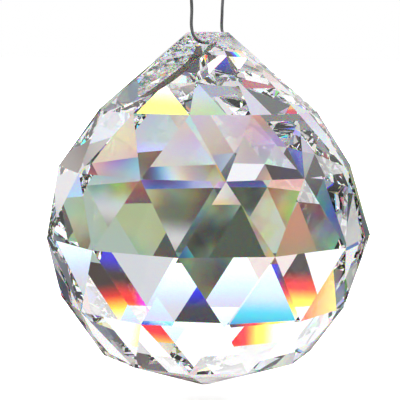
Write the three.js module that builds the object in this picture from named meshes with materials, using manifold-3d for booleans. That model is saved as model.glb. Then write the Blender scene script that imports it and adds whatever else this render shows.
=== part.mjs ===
// A clear cut-crystal ball that hangs from a bent steel wire.
// Millimetres, +Z up. The origin is where the wire's eye rests on whatever it is hung from.

import * as THREE from 'three';
import { ConvexGeometry } from 'three/addons/geometries/ConvexGeometry.js';
import { mergeVertices } from 'three/addons/utils/BufferGeometryUtils.js';
import Module from 'manifold-3d';

const wasm = await Module();
wasm.setup();

// The cut ball
const ballRadius = 20;
const facetsAround = 12;
const facetTurn = 6.7;
// Each ring stands at its own latitude, a little inside the ball's full radius
const upperCollar = { latitude: 47.9, reach: 0.994 };
const upperShoulder = { latitude: 23.9, reach: 0.982 };
const lowerShoulder = { latitude: -24.4, reach: 0.975 };
const lowerCollar = { latitude: -48.1, reach: 0.983 };

// The crown above the upper collar, with its small flat table
const crownRise = 9.3;
const tableRadius = 2.5;

// The small flat that blunts the lowest point
const culetReach = 0.968;
const culetRadius = 0.9;

// The hole through the crown, drilled from both sides so that it opens towards each mouth
const holeRadius = 0.95;
const holeCover = 0.75;
const holeTurn = -48;
const holeOffset = 1.0;
const holeFlare = 24;
const holeSides = 48;

// The steel wire
const wireRadius = 0.2;
const wireSides = 8;
const wireClearance = 0.3;
const legReach = 3.3;
const frontLegTurn = -35;
const backLegTurn = 148;
// Straight wire between the table and the point where the two legs start to close
const legLength = 5.2;
const closingLength = 2.6;
const twistPitch = 2.6;
const twistTurns = 2;
const twistGap = 0.26;
const eyeRadius = 3.4;

// Heights above the ball's widest ring
const collarHeight = ballRadius * upperCollar.reach * Math.sin(radians(upperCollar.latitude));
const tableHeight = collarHeight + crownRise;
const holeHeight = tableHeight - holeCover - holeRadius;
const wireInHoleHeight = holeHeight + holeRadius - wireClearance - wireRadius;
const closingHeight = tableHeight + legLength;
const twistHeight = closingHeight + closingLength;
const twistTopHeight = twistHeight + twistPitch * twistTurns;
const strandRadius = wireRadius + twistGap / 2;
const eyeLineRadius = eyeRadius + wireRadius;
const eyeHeight = twistTopHeight + Math.sqrt(eyeLineRadius ** 2 - strandRadius ** 2);
const hangHeight = eyeHeight + eyeRadius;

function radians(degrees) {
  return (degrees * Math.PI) / 180;
}

// A point at a turn about the ball's axis; 0 faces the viewer, along -Y, and turns go towards +X
function around(turn, reach, height) {
  const angle = radians(turn);
  return new THREE.Vector3(reach * Math.sin(angle), -reach * Math.cos(angle), height);
}

// One ring of corners; every second ring is turned by half a facet
function ring(reach, height, halfTurned) {
  const step = 360 / facetsAround;
  const start = facetTurn + (halfTurned ? step / 2 : 0);
  return Array.from({ length: facetsAround }, (_, i) => around(start + i * step, reach, height));
}

function latitudeRing({ latitude, reach }, halfTurned) {
  const radius = ballRadius * reach;
  const angle = radians(latitude);
  return ring(radius * Math.cos(angle), radius * Math.sin(angle), halfTurned);
}

function solid(geometry) {
  const bare = geometry.clone();
  bare.deleteAttribute('normal');
  bare.deleteAttribute('uv');
  const merged = mergeVertices(bare, 1e-4);
  return new wasm.Manifold(new wasm.Mesh({
    numProp: 3,
    vertProperties: new Float32Array(merged.attributes.position.array),
    triVerts: new Uint32Array(merged.index.array),
  }));
}

function geometryOf(manifold) {
  const mesh = manifold.getMesh();
  const geometry = new THREE.BufferGeometry();
  geometry.setAttribute('position', new THREE.BufferAttribute(mesh.vertProperties, 3));
  geometry.setIndex(new THREE.BufferAttribute(mesh.triVerts, 1));
  geometry.computeVertexNormals();
  return geometry;
}

// The ball before drilling: rings of corners joined by flat triangles, long facets up to the table
function cutBall() {
  const corners = [
    ...ring(tableRadius, tableHeight, true),
    ...latitudeRing(upperCollar, true),
    ...latitudeRing(upperShoulder, false),
    ...ring(ballRadius, 0, true),
    ...latitudeRing(lowerShoulder, false),
    ...latitudeRing(lowerCollar, true),
    ...ring(culetRadius, -ballRadius * culetReach, true),
  ];
  return solid(new ConvexGeometry(corners));
}

// A waisted tool: narrowest in the middle of the crown and wider towards both mouths
function drilledHole() {
  const reach = ballRadius;
  const mouthRadius = holeRadius + reach * Math.tan(radians(holeFlare));
  const profile = [
    new THREE.Vector2(0, -reach),
    new THREE.Vector2(mouthRadius, -reach),
    new THREE.Vector2(holeRadius, 0),
    new THREE.Vector2(mouthRadius, reach),
    new THREE.Vector2(0, reach),
  ];
  const tool = new THREE.LatheGeometry(profile, holeSides);
  // The lathe's own axis is Y; turned about Z it points to the front mouth
  tool.translate(holeOffset, 0, holeHeight);
  tool.rotateZ(radians(holeTurn));
  return solid(tool);
}

function crystalBall() {
  const clear = new THREE.MeshStandardMaterial({
    color: 0xf4f6f8,
    flatShading: true,
    roughness: 0.02,
    metalness: 0,
    transparent: true,
    opacity: 0.35,
  });
  const mesh = new THREE.Mesh(geometryOf(cutBall().subtract(drilledHole())), clear);
  mesh.name = 'crystal_ball';
  return mesh;
}

// A point in the hole, measured along it from its narrowest place to the front mouth
function inHole(along, height) {
  const angle = radians(holeTurn);
  return new THREE.Vector3(
    holeOffset * Math.cos(angle) + along * Math.sin(angle),
    holeOffset * Math.sin(angle) - along * Math.cos(angle),
    height,
  );
}

// The wire's middle line: one strand's end, down, through the crown, up, round the eye and back
function wireRoute() {
  const points = [];
  const stepsPerTurn = 8;
  const twistSteps = twistTurns * stepsPerTurn;
  const strandTurn = (step) => 90 + (360 * step) / stepsPerTurn;
  const strandHeight = (step) => twistHeight + (twistPitch * step) / stepsPerTurn;
  // The front strand ends half a turn below the eye
  for (let step = twistSteps - stepsPerTurn / 2; step >= 0; step -= 1) {
    points.push(around(strandTurn(step) + 180, strandRadius, strandHeight(step)));
  }
  points.push(
    around(frontLegTurn, legReach, closingHeight),
    around(frontLegTurn, legReach, closingHeight - legLength / 2),
    around(frontLegTurn, legReach, tableHeight + 2 * wireRadius),
    inHole(legReach - 2 * wireRadius, wireInHoleHeight + 2.5 * wireRadius),
    inHole(legReach / 2, wireInHoleHeight),
    inHole(0, wireInHoleHeight),
    inHole(-legReach / 2, wireInHoleHeight),
    inHole(-legReach, wireInHoleHeight + 2.5 * wireRadius),
    around(backLegTurn, legReach + wireRadius, tableHeight),
    around(backLegTurn, legReach, closingHeight - legLength / 2),
    around(backLegTurn, legReach, closingHeight),
  );
  for (let step = 0; step <= twistSteps; step += 1) {
    points.push(around(strandTurn(step), strandRadius, strandHeight(step)));
  }
  // The eye starts over its own strand and closes beside it
  const startAngle = Math.asin(strandRadius / eyeLineRadius);
  const eyeSteps = 20;
  for (let step = 1; step <= eyeSteps; step += 1) {
    const angle = startAngle + ((2 * Math.PI - 2 * startAngle) * step) / eyeSteps;
    points.push(new THREE.Vector3(
      eyeLineRadius * Math.sin(angle),
      0,
      eyeHeight - eyeLineRadius * Math.cos(angle),
    ));
  }
  return new THREE.CatmullRomCurve3(points, false, 'centripetal');
}

function hangingWire() {
  const section = new THREE.Shape();
  for (let i = 0; i < wireSides; i += 1) {
    const angle = (2 * Math.PI * i) / wireSides;
    const x = wireRadius * Math.cos(angle);
    const y = wireRadius * Math.sin(angle);
    if (i === 0) {
      section.moveTo(x, y);
    } else {
      section.lineTo(x, y);
    }
  }
  section.closePath();
  const route = wireRoute();
  route.arcLengthDivisions = 2000;
  const stepLength = 1.8 * wireRadius;
  const steel = new THREE.MeshStandardMaterial({ color: 0x6f7074, roughness: 0.28, metalness: 1 });
  const geometry = new THREE.ExtrudeGeometry(section, {
    steps: Math.round(route.getLength() / stepLength),
    bevelEnabled: false,
    extrudePath: route,
  });
  const mesh = new THREE.Mesh(geometry, steel);
  mesh.name = 'hanging_wire';
  return mesh;
}

const part = new THREE.Group();
part.name = 'hanging_crystal_ball';
// The ball hangs below the origin
const hanging = new THREE.Group();
hanging.position.set(0, 0, -hangHeight);
hanging.add(crystalBall(), hangingWire());
part.add(hanging);

export default part;
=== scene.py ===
"""A clear cut-crystal ball on a bent steel wire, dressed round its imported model."""

import math

import bmesh
import bpy
from bpy.props import FloatProperty, FloatVectorProperty, IntProperty, PointerProperty
from mathutils import Matrix, Vector, noise


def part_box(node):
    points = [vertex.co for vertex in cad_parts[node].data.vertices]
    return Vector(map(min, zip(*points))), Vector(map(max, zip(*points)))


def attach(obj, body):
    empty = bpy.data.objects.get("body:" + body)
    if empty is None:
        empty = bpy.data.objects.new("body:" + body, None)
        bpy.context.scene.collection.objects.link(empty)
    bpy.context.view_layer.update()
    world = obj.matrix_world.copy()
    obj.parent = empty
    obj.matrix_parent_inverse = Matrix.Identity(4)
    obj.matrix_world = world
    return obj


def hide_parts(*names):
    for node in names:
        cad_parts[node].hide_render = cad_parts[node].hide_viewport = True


bl_info = {
    "name": "Hanging crystal ball",
    "version": (1, 0, 0),
    "blender": (4, 5, 0),
    "location": "View3D > Sidebar > Crystal ball",
    "description": "Cut crystal, ground hole, steel wire and studio for the hanging crystal ball",
    "category": "Object",
}

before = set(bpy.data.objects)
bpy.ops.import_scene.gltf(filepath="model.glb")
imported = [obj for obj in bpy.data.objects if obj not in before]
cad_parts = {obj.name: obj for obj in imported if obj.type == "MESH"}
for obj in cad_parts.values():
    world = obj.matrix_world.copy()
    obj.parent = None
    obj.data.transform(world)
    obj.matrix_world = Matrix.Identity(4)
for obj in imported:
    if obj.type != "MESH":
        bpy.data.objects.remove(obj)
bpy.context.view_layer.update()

MM = 0.001
BALL = "crystal_ball"
WIRE = "hanging_wire"
BALL_LOW, BALL_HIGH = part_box(BALL)
BALL_RADIUS = (BALL_HIGH[0] - BALL_LOW[0]) / 2
# The widest ring's corners stand a little to the side of the box's middle plane
CORNER_TURN = math.radians(8.3)
# The ball's lowest flat lies this share of its radius below the widest ring
CULET_SHARE = 0.968
GIRDLE = Vector((0, 0, BALL_LOW[2] + CULET_SHARE * BALL_RADIUS / math.cos(CORNER_TURN)))


# Sizes and colours that a user would change

class CrystalSettings(bpy.types.PropertyGroup):
    index: FloatProperty(name="Index", description="Refractive index of the crystal", default=1.556)
    fire: FloatProperty(
        name="Fire", description="Step of the index from red to green to blue light", default=0.04)
    edge: FloatProperty(
        name="Edge", description="Width of the polished arris between two facets",
        default=0.06 * MM, unit="LENGTH", precision=6)
    grind: FloatProperty(
        name="Grind", description="Depth of the chips in the drilled hole's wall",
        default=0.16 * MM, unit="LENGTH", precision=6)
    grain: FloatProperty(
        name="Grain", description="Size of one chip of the hole's wall",
        default=1.1 * MM, unit="LENGTH", precision=6)


class WireSettings(bpy.types.PropertyGroup):
    colour: FloatVectorProperty(
        name="Colour", description="Colour of the steel wire", subtype="COLOR", size=3,
        default=(0.30, 0.30, 0.31))
    smoothing: IntProperty(
        name="Smoothing", description="Subdivision levels on the wire", default=1, min=0, max=3)


class StageSettings(bpy.types.PropertyGroup):
    floor_gap: FloatProperty(
        name="Floor gap", description="Height of the ball's tip over the floor",
        default=3.0 * MM, unit="LENGTH", precision=6)
    distance: FloatProperty(
        name="Distance", description="Camera's distance from the middle of the ball",
        default=137.7 * MM, unit="LENGTH", precision=6)
    elevation: FloatProperty(
        name="Elevation", description="Camera's height over the widest ring, as an angle",
        default=math.radians(8.77), subtype="ANGLE")
    focal: FloatProperty(
        name="Focal length", description="Camera's focal length in pixels of the picture",
        default=1118.0)


# Shader maths

class Value:
    """Wraps a socket so that an expression adds its Math nodes."""

    def __init__(self, tree, socket):
        self.tree = tree
        self.socket = socket

    def _math(self, operation, *others):
        return node(self.tree, "ShaderNodeMath", {"operation": operation}, self, *others)

    def __add__(self, other):
        return self._math("ADD", other)

    __radd__ = __add__

    def __sub__(self, other):
        return self._math("SUBTRACT", other)

    def __rsub__(self, other):
        return node(self.tree, "ShaderNodeMath", {"operation": "SUBTRACT"}, other, self)

    def __mul__(self, other):
        return self._math("MULTIPLY", other)

    __rmul__ = __mul__

    def absolute(self):
        return self._math("ABSOLUTE")

    def arctan2(self, other):
        return self._math("ARCTAN2", other)

    def arcsin(self):
        return self._math("ARCSINE")


def node(tree, kind, settings, *values, output=None, **named):
    """Adds a node, sets it, then sets or links its sockets; returns one of its outputs."""
    made = tree.nodes.new(kind)
    for name, value in settings.items():
        if name == "stops":
            fill_ramp(made.color_ramp, value)
        else:
            setattr(made, name, value)
    shown = [socket for socket in made.inputs if socket.enabled]
    pairs = list(zip(shown, values))
    pairs += [(made.inputs[name.replace("_", " ")], value) for name, value in named.items()]
    for socket, value in pairs:
        if isinstance(value, Value):
            tree.links.new(value.socket, socket)
        else:
            socket.default_value = value
    if output is not None:
        return Value(tree, made.outputs[output])
    # A tree's own output node has no outputs
    first = next((socket for socket in made.outputs if socket.enabled), None)
    return Value(tree, first)


def fill_ramp(ramp, stops):
    while len(ramp.elements) > len(stops):
        ramp.elements.remove(ramp.elements[-1])
    while len(ramp.elements) < len(stops):
        ramp.elements.new(1.0)
    for element, (place, colour) in zip(ramp.elements, stops):
        element.position = place
        element.color = (*colour, 1.0)


def smooth_step(value, low, high):
    settings = {"interpolation_type": "SMOOTHSTEP"}
    return node(value.tree, "ShaderNodeMapRange", settings, value, low, high, 0.0, 1.0)


def new_material(name):
    material = bpy.data.materials.new(name)
    material.use_nodes = True
    material.node_tree.nodes.clear()
    return material


def shade(tree, shader, kind="ShaderNodeOutputMaterial"):
    node(tree, kind, {}, Surface=shader)


# Pieces

# Corners that stand closer than this are one corner
SAME_PLACE = 0.002 * MM


def merged_copy(cad_node):
    """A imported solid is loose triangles; in its copy they share their corners."""
    bm = bmesh.new()
    bm.from_mesh(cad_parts[cad_node].data)
    bmesh.ops.remove_doubles(bm, verts=bm.verts, dist=SAME_PLACE)
    return bm


def add_object(context, name, bm, materials):
    """Makes a finished bmesh an object at the origin, with its materials in slot order."""
    mesh = bpy.data.meshes.new(name)
    bm.to_mesh(mesh)
    bm.free()
    for material in materials:
        mesh.materials.append(material)
    made = bpy.data.objects.new(name, mesh)
    context.scene.collection.objects.link(made)
    return made


# The crystal's materials

WHITE = (1.0, 1.0, 1.0, 1.0)
# Material slots of the ball
POLISHED = 0
SHADED_GROUND = 1
CHIPPED = 2
MATT = 3
# Finishes that the drill leaves on the hole's wall, in the order of the slots: colour, roughness.
# The ground finish's dark olive colour is painted shade: it darkens the smooth wall as if it lay in
# shade.
WALL_FINISHES = {
    "ground_crystal_painted_shade": ((0.28, 0.26, 0.22), 0.25),
    "chipped_crystal": ((0.95, 0.96, 0.97), 0.08),
    "matt_crystal": ((0.80, 0.80, 0.82), 0.22),
}


def mix(tree, share, first, second):
    return node(tree, "ShaderNodeMixShader", {}, share, first, second)


def bend(tree, colour, index):
    return node(tree, "ShaderNodeBsdfRefraction", {}, Color=colour, Roughness=0.0, IOR=index)


def polished_crystal(settings):
    """Clear lead crystal that spreads white light into colours where the light leaves it."""
    material = new_material("polished_crystal")
    tree = material.node_tree
    # Each colour has a third of the light, so its tint is three times as strong
    red = bend(tree, (3.0, 0.0, 0.0, 1.0), settings.index - settings.fire)
    green = bend(tree, (0.0, 3.0, 0.0, 1.0), settings.index)
    blue = bend(tree, (0.0, 0.0, 3.0, 1.0), settings.index + settings.fire)
    fan = mix(tree, 1 / 3, mix(tree, 0.5, red, green), blue)
    leaving = node(tree, "ShaderNodeNewGeometry", {}, output="Backfacing")
    # Where blue light can't leave any more, the other colours stay together
    kept_in = node(tree, "ShaderNodeFresnel", {}, IOR=settings.index + settings.fire)
    white = bend(tree, WHITE, settings.index)
    bent = mix(tree, leaving * (1.0 - kept_in), white, fan)
    mirror = node(tree, "ShaderNodeBsdfGlossy", {}, Color=WHITE, Roughness=0.0)
    share = node(tree, "ShaderNodeFresnel", {}, IOR=settings.index)
    shade(tree, mix(tree, share, bent, mirror))
    return material


def worked_crystal(name, colour, roughness, settings):
    """A finish of the hole's wall; it doesn't spread the light."""
    material = new_material(name)
    tree = material.node_tree
    shade(tree, node(
        tree, "ShaderNodeBsdfGlass", {}, Color=(*colour, 1.0), Roughness=roughness,
        IOR=settings.index))
    return material


def crystal_finishes(settings):
    wall = [worked_crystal(name, *finish, settings) for name, finish in WALL_FINISHES.items()]
    return [polished_crystal(settings), *wall]


# The crystal's mesh

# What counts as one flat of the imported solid
SAME_PLANE = 0.004 * MM
SAME_TURN = math.radians(0.3)
# Triangle edges across one chip, and the rounds in which longer edges are halved
EDGES_IN_CHIP = 4
CHIP_ROUNDS = 5
# Level directions along the hole, to its front mouth at the left, and across it
ALONG_HOLE = Vector((-0.74, -0.67, 0.0))
ACROSS_HOLE = Vector((0.67, -0.74, 0.0))
HOLE_HEIGHT = GIRDLE.z + 22.4 * MM
# In front the lower wall is smooth along the right rim and carries painted shade there (a dark
# tint), in a band that gets narrower towards the mouth's end, and the rest is chipped. Well behind
# the middle the wall is evenly matt.
SHADED_GROUND_START = 0.7 * MM
SHADED_GROUND_SIDE = -0.7 * MM
SHADED_GROUND_TAPER = 0.14
CHIP_FADE = 0.3 * MM
MATT_START = -1.2 * MM


def is_outer(face, corners):
    """True where every corner lies on or behind the face's plane, as on a cut facet."""
    plane = face.verts[0].co
    return all((corner - plane).dot(face.normal) < SAME_PLANE for corner in corners)


def is_wall(face):
    return face.material_index != POLISHED


def wall_faces(bm):
    return [face for face in bm.faces if is_wall(face)]


def triangulate_wall(bm):
    """The shorter diagonal keeps thin triangles from folding onto each other."""
    bmesh.ops.triangulate(bm, faces=wall_faces(bm), quad_method="SHORT_EDGE")


def chip_share(place):
    """0 where the drill left the hole's wall smooth, 1 where it is chipped."""
    along = place.dot(ALONG_HOLE)
    if along < MATT_START:
        return 0.0
    if along < SHADED_GROUND_START or place.z > HOLE_HEIGHT:
        return 1.0
    edge = SHADED_GROUND_SIDE + SHADED_GROUND_TAPER * (along - SHADED_GROUND_START)
    share = (edge - place.dot(ACROSS_HOLE)) / CHIP_FADE
    return min(max(share, 0.0), 1.0)


def wall_slot(place):
    if chip_share(place) > 0.0:
        return CHIPPED
    # The smooth band in front takes the slot whose dark colour is painted shade
    return MATT if place.dot(ALONG_HOLE) < MATT_START else SHADED_GROUND


def chip_height(place, settings):
    """The wall falls into irregular cells, and each is one flat chip, tilted its own way."""
    spot = place / settings.grain
    middle = noise.voronoi(spot)[1][0]
    tilt = 2.0 * noise.cell_vector(middle) - Vector((1.0, 1.0, 1.0))
    return settings.grind * tilt.dot(spot - middle)


def chip_wall(bm, settings):
    """Gives the hole's wall its chips and its finishes; the rims keep their place."""
    triangulate_wall(bm)
    for _ in range(CHIP_ROUNDS):
        long_edges = [
            edge for edge in bm.edges
            if any(is_wall(face) for face in edge.link_faces)
            and edge.calc_length() > settings.grain / EDGES_IN_CHIP]
        bmesh.ops.subdivide_edges(bm, edges=long_edges, cuts=1)
        triangulate_wall(bm)
    bm.normal_update()
    for vert in bm.verts:
        if all(is_wall(face) for face in vert.link_faces):
            vert.co += vert.normal * chip_share(vert.co) * chip_height(vert.co, settings)
    for face in wall_faces(bm):
        face.material_index = wall_slot(face.calc_center_median())
        face.smooth = face.material_index != CHIPPED


def bevelled_ball(settings):
    """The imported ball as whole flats, with a fine arris along each outer edge."""
    bm = merged_copy(BALL)
    bmesh.ops.dissolve_limit(bm, angle_limit=SAME_TURN, verts=bm.verts, edges=bm.edges)
    bm.normal_update()
    corners = [vert.co.copy() for vert in bm.verts]
    for face in bm.faces:
        face.material_index = POLISHED if is_outer(face, corners) else SHADED_GROUND
    arrises = [edge for edge in bm.edges if not all(is_wall(face) for face in edge.link_faces)]
    bmesh.ops.bevel(
        bm, geom=arrises, offset=settings.edge, offset_type="WIDTH", affect="EDGES",
        segments=1, profile=0.5, material=-1, clamp_overlap=True)
    return bm


class CRYSTAL_OT_ball(bpy.types.Operator):
    """Dresses the cut ball with fine arrises and a ground hole"""
    bl_idname = "crystal.ball"
    bl_label = "Cut ball"

    def execute(self, context):
        settings = context.scene.crystal_settings
        bm = bevelled_ball(settings)
        chip_wall(bm, settings)
        piece = add_object(context, "cut_crystal_ball", bm, crystal_finishes(settings))
        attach(piece, "root")
        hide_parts(BALL)
        return {"FINISHED"}


# Steel wire

# Scale and detail of the dull streaks, and the roughness without them and what they add
STREAKS = {"Scale": 900.0, "Detail": 3.0}
SMOOTH_STEEL = 0.18
DULL_STEEL = 0.2


def drawn_steel(settings):
    material = new_material("drawn_steel")
    tree = material.node_tree
    place = node(tree, "ShaderNodeTexCoord", {}, output="Object")
    streaks = node(tree, "ShaderNodeTexNoise", {}, Vector=place, **STREAKS)
    steel = node(
        tree, "ShaderNodeBsdfPrincipled", {}, Base_Color=(*settings.colour, 1.0),
        Metallic=1.0, Roughness=SMOOTH_STEEL + streaks * DULL_STEEL)
    shade(tree, steel)
    return material


class CRYSTAL_OT_wire(bpy.types.Operator):
    """Dresses the bent wire as round drawn steel"""
    bl_idname = "crystal.wire"
    bl_label = "Hanging wire"

    def execute(self, context):
        settings = context.scene.wire_settings
        bm = merged_copy(WIRE)
        for face in bm.faces:
            face.smooth = True
        piece = add_object(context, "bent_steel_wire", bm, [drawn_steel(settings)])
        rounding = piece.modifiers.new("rounding", "SUBSURF")
        rounding.levels = settings.smoothing
        rounding.render_levels = settings.smoothing
        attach(piece, "root")
        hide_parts(WIRE)
        return {"FINISHED"}


# Stage

# Half the floor's width, in metres
FLOOR_REACH = 20.0
FLOOR_COLOUR = (0.9, 0.9, 0.9, 1.0)
# Strength of the plain white that the camera sees, and of the one that lights the floor
BACKDROP_LIGHT = 1.0
FLOOR_LIGHT = 4.0
# The picture's width and the place of the ball's middle in it, in pixels
PICTURE = 400
BALL_MIDDLE = Vector((206.3, 229.7))
CAMERA_ROLL = math.radians(0.45)
SENSOR_WIDTH = 36.0
NEAREST_SEEN = 10 * MM
# How often light may pass into or out of the crystal, and be mirrored outside it
CRYSTAL_BOUNCES = 24
MIRROR_BOUNCES = 12

# The crystal turns the studio round it upside down and bends it into its facets. The studio is
# soft-edged zones of light: azimuth and elevation, half width and half height, softness of the
# edge, all in degrees, and the light. Azimuth 0 is straight behind the ball, right is positive.
BASE_LIGHT = (0.75, 0.74, 0.75, 1.0)
UPPER_ZONES = {
    "left ceiling": ((-112, 38), (40, 14), 3.0, (1.25, 1.25, 1.25)),
    "right ceiling": ((112, 38), (40, 14), 3.0, (1.25, 1.25, 1.25)),
    "left rail": ((-112, 14), (44, 2.5), 1.5, (0.05, 0.04, 0.05)),
    "right rail": ((112, 14), (44, 2.5), 1.5, (0.05, 0.04, 0.05)),
    "ceiling": ((0, 53), (80, 40), 2.5, (1.25, 1.25, 1.25)),
    "white sill": ((0, 8.5), (50, 2.2), 2.0, (1.25, 1.25, 1.25)),
    "dark rail": ((-10, 10.6), (19, 0.9), 1.0, (0.02, 0.02, 0.04)),
    "rail's middle": ((-1, 10.4), (3.5, 1.8), 1.0, (0.02, 0.02, 0.04)),
    "rail's left end": ((-25, 11.6), (4, 3.3), 1.0, (0.06, 0.04, 0.03)),
    "rail's right end": ((25, 10.2), (4, 1.7), 1.0, (0.06, 0.04, 0.03)),
    "dark beam": ((24, 24.3), (6.5, 2.7), 1.0, (0.03, 0.03, 0.05)),
    "post": ((-20.7, 23.5), (3.2, 3), 1.0, (0.04, 0.03, 0.04)),
    "left post": ((-47, 21), (4.5, 7), 3.0, (0.04, 0.04, 0.06)),
}
MIDDLE_ZONES = {
    "left light": ((-41, 5), (6, 3), 2.0, (1.2, 1.2, 1.2)),
    "pale spot": ((-16, 3.5), (3.5, 2.5), 1.5, (0.95, 0.82, 0.80)),
    "right light": ((15, 3), (4, 3.5), 2.0, (0.68, 0.70, 0.74)),
    "orange spot": ((-23, -2), (2, 2.5), 2.5, (0.55, 0.25, 0.15)),
    "green spot": ((14, -7), (2.5, 2.5), 5.0, (0.42, 0.50, 0.27)),
    "green haze": ((29, -4), (9, 5), 5.0, (0.42, 0.52, 0.45)),
    "dark spot": ((-7, -4), (3, 4), 3.0, (0.07, 0.09, 0.06)),
}
LOWER_ZONES = {
    "dark bench": ((-30, -16), (17, 3), 2.0, (0.05, 0.04, 0.04)),
    "dark post": ((4.5, -17), (1.5, 2.5), 1.5, (0.10, 0.08, 0.07)),
    "orange strip": ((-30, -25), (4, 1.5), 1.5, (0.90, 0.50, 0.25)),
    "brown box": ((-15, -37), (2, 2), 1.0, (0.35, 0.25, 0.20)),
    "blue strip": ((2, -43), (3, 1.5), 1.5, (0.45, 0.70, 0.90)),
    "lamp's foot": ((21, -50), (6, 3.4), 1.6, (0.08, 0.07, 0.07)),
    "lamp": ((19, -42.5), (5, 4.55), 1.6, (1.5, 1.5, 1.5)),
    "right softbox": ((75, -42), (37, 22), 8.0, (0.85, 0.90, 1.0)),
    "brown pad": ((54, -24), (5, 4), 2.0, (0.18, 0.13, 0.10)),
}
REAR_ZONES = {
    "left screen": ((-143, -17), (30, 10), 4.0, (0.07, 0.06, 0.06)),
    "red screen": ((-158, -35), (6, 4), 2.0, (0.45, 0.08, 0.12)),
    "olive screen": ((-173, -26), (7, 5), 2.0, (0.24, 0.26, 0.08)),
    "right screen": ((148, 16), (20, 26), 6.0, (0.11, 0.13, 0.17)),
    "dark chest": ((-163, -61.8), (20, 4.8), 1.5, (0.01, 0.02, 0.04)),
    "high shelf": ((162, 45), (6, 4), 2.0, (0.10, 0.11, 0.11)),
}

# Speckled bands behind the ball and at both sides: elevation, half width and half height, and
# softness. Then the speckles: scale, detail, and colours from dark to light.
SIDES = (-112, 112)
GREEN_BAND = (-4.5, (44, 8.5), 1.5)
BROWN_BAND = (-20.5, (44, 6.5), 2.0)
PALE_BAND = (-45, (60, 20), 3.0)
PALE_SIDE_BAND = (-45, (40, 12), 3.0)
GREEN_SPECKLE = (15.0, 4.0, (
    (0.38, (0.04, 0.05, 0.04)),
    (0.49, (0.13, 0.16, 0.10)),
    (0.56, (0.25, 0.31, 0.20)),
    (0.68, (0.58, 0.62, 0.52)),
))
BROWN_SPECKLE = (13.0, 2.0, (
    (0.38, (0.05, 0.05, 0.05)),
    (0.48, (0.22, 0.18, 0.16)),
    (0.56, (0.45, 0.43, 0.46)),
    (0.66, (0.90, 0.90, 0.95)),
))
PALE_SPECKLE = (8.0, 2.0, (
    (0.38, (0.42, 0.37, 0.35)),
    (0.50, (0.62, 0.57, 0.55)),
    (0.62, (0.74, 0.72, 0.80)),
))


def patch(tree, below, angles, place, half, soft, light):
    """Lays one soft-edged patch of light over what is already there."""
    inside = 1.0
    for angle, middle, reach in zip(angles, place, half):
        inside = smooth_step(
            (angle - middle).absolute(), reach + soft / 2, reach - soft / 2) * inside
    if not isinstance(light, Value):
        light = (*light, 1.0)
    return node(tree, "ShaderNodeMix", {"data_type": "RGBA"}, inside, below, light)


def zones(tree, below, angles, group):
    for zone in group.values():
        below = patch(tree, below, angles, *zone)
    return below


def band(tree, below, angles, azimuth, facts, pattern):
    elevation, half, soft = facts
    return patch(tree, below, angles, (azimuth, elevation), half, soft, pattern)


def speckle(tree, direction, scale, detail, stops):
    pattern = node(
        tree, "ShaderNodeTexNoise", {}, Vector=direction, Scale=scale, Detail=detail)
    return node(tree, "ShaderNodeValToRGB", {"stops": stops}, pattern)


def surroundings(world):
    """The crystal and the wire see the studio's zones; the camera and the floor see plain white."""
    world.use_nodes = True
    tree = world.node_tree
    tree.nodes.clear()
    direction = node(tree, "ShaderNodeTexCoord", {}, output="Generated")
    east, north, height = (
        node(tree, "ShaderNodeSeparateXYZ", {}, direction, output=axis) for axis in "XYZ")
    degrees = math.degrees(1.0)
    angles = (east.arctan2(north) * degrees, height.arcsin() * degrees)
    green = speckle(tree, direction, *GREEN_SPECKLE)
    brown = speckle(tree, direction, *BROWN_SPECKLE)
    pale = speckle(tree, direction, *PALE_SPECKLE)
    light = BASE_LIGHT
    for side in SIDES:
        light = band(tree, light, angles, side, GREEN_BAND, green)
        light = band(tree, light, angles, side, BROWN_BAND, brown)
        light = band(tree, light, angles, side, PALE_SIDE_BAND, pale)
    light = zones(tree, light, angles, UPPER_ZONES)
    light = band(tree, light, angles, 0, GREEN_BAND, green)
    light = zones(tree, light, angles, MIDDLE_ZONES)
    light = band(tree, light, angles, 0, BROWN_BAND, brown)
    light = band(tree, light, angles, 0, PALE_BAND, pale)
    light = zones(tree, light, angles, LOWER_ZONES)
    light = zones(tree, light, angles, REAR_ZONES)
    studio = node(tree, "ShaderNodeBackground", {}, light, 1.0)
    backdrop = node(tree, "ShaderNodeBackground", {}, WHITE, BACKDROP_LIGHT)
    above_floor = node(tree, "ShaderNodeBackground", {}, WHITE, FLOOR_LIGHT)
    by_camera = node(tree, "ShaderNodeLightPath", {}, output="Is Camera Ray")
    by_floor = node(tree, "ShaderNodeLightPath", {}, output="Is Diffuse Ray")
    seen = mix(tree, by_camera, studio, backdrop)
    shade(tree, mix(tree, by_floor, seen, above_floor), "ShaderNodeOutputWorld")


def add_floor(context, settings):
    """The white sheet under the ball."""
    material = new_material("white_sheet")
    sheet = node(material.node_tree, "ShaderNodeBsdfDiffuse", {}, Color=FLOOR_COLOUR)
    shade(material.node_tree, sheet)
    bm = bmesh.new()
    bmesh.ops.create_grid(bm, x_segments=1, y_segments=1, size=FLOOR_REACH)
    bmesh.ops.translate(bm, verts=bm.verts, vec=(0, 0, BALL_LOW[2] - settings.floor_gap))
    floor = add_object(context, "white_floor", bm, [material])
    floor.visible_transmission = False
    floor.visible_glossy = False


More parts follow.
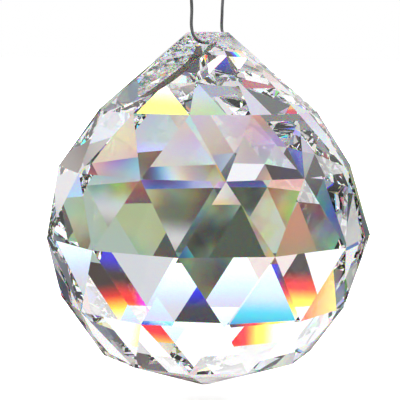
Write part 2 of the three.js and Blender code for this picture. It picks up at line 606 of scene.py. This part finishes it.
def add_camera(context, settings):
    data = bpy.data.cameras.new("view")
    camera = bpy.data.objects.new("view", data)
    context.scene.collection.objects.link(camera)
    data.sensor_width = SENSOR_WIDTH
    data.lens = settings.focal / PICTURE * SENSOR_WIDTH
    data.clip_start = NEAREST_SEEN
    elevation = settings.elevation
    # The ball's middle stands off the picture's centre, so the camera turns by that much
    yaw = math.atan2(BALL_MIDDLE.x - PICTURE / 2, settings.focal)
    pitch = math.atan2(BALL_MIDDLE.y - PICTURE / 2, settings.focal)
    place = GIRDLE + settings.distance * Vector((0, -math.cos(elevation), math.sin(elevation)))
    turn = (Matrix.Rotation(yaw, 4, "Z") @ Matrix.Rotation(math.pi / 2 - elevation + pitch, 4, "X")
            @ Matrix.Rotation(CAMERA_ROLL, 4, "Z"))
    camera.matrix_world = Matrix.Translation(place) @ turn
    context.scene.camera = camera


class CRYSTAL_OT_stage(bpy.types.Operator):
    """Sets the studio that lights the ball, the floor and the camera"""
    bl_idname = "crystal.stage"
    bl_label = "Stage"

    def execute(self, context):
        settings = context.scene.stage_settings
        scene = context.scene
        scene.world = bpy.data.worlds.new("studio")
        surroundings(scene.world)
        add_floor(context, settings)
        add_camera(context, settings)
        scene.view_settings.view_transform = "Standard"
        cycles = scene.cycles
        cycles.max_bounces = CRYSTAL_BOUNCES
        cycles.transmission_bounces = CRYSTAL_BOUNCES
        cycles.glossy_bounces = MIRROR_BOUNCES
        return {"FINISHED"}


class CRYSTAL_PT_panel(bpy.types.Panel):
    """Lists the steps that dress the crystal ball"""
    bl_idname = "CRYSTAL_PT_panel"
    bl_label = "Crystal ball"
    bl_space_type = "VIEW_3D"
    bl_region_type = "UI"
    bl_category = "Crystal ball"

    def draw(self, context):
        for operator in (CRYSTAL_OT_ball, CRYSTAL_OT_wire, CRYSTAL_OT_stage):
            self.layout.operator(operator.bl_idname)


CLASSES = (
    CrystalSettings,
    WireSettings,
    StageSettings,
    CRYSTAL_OT_ball,
    CRYSTAL_OT_wire,
    CRYSTAL_OT_stage,
    CRYSTAL_PT_panel,
)


def register():
    for cls in CLASSES:
        bpy.utils.register_class(cls)
    bpy.types.Scene.crystal_settings = PointerProperty(type=CrystalSettings)
    bpy.types.Scene.wire_settings = PointerProperty(type=WireSettings)
    bpy.types.Scene.stage_settings = PointerProperty(type=StageSettings)


def unregister():
    del bpy.types.Scene.stage_settings
    del bpy.types.Scene.wire_settings
    del bpy.types.Scene.crystal_settings
    for cls in reversed(CLASSES):
        bpy.utils.unregister_class(cls)


def main():
    register()
    bpy.ops.crystal.ball()
    bpy.ops.crystal.wire()
    bpy.ops.crystal.stage()


if __name__ == "__main__":
    main()
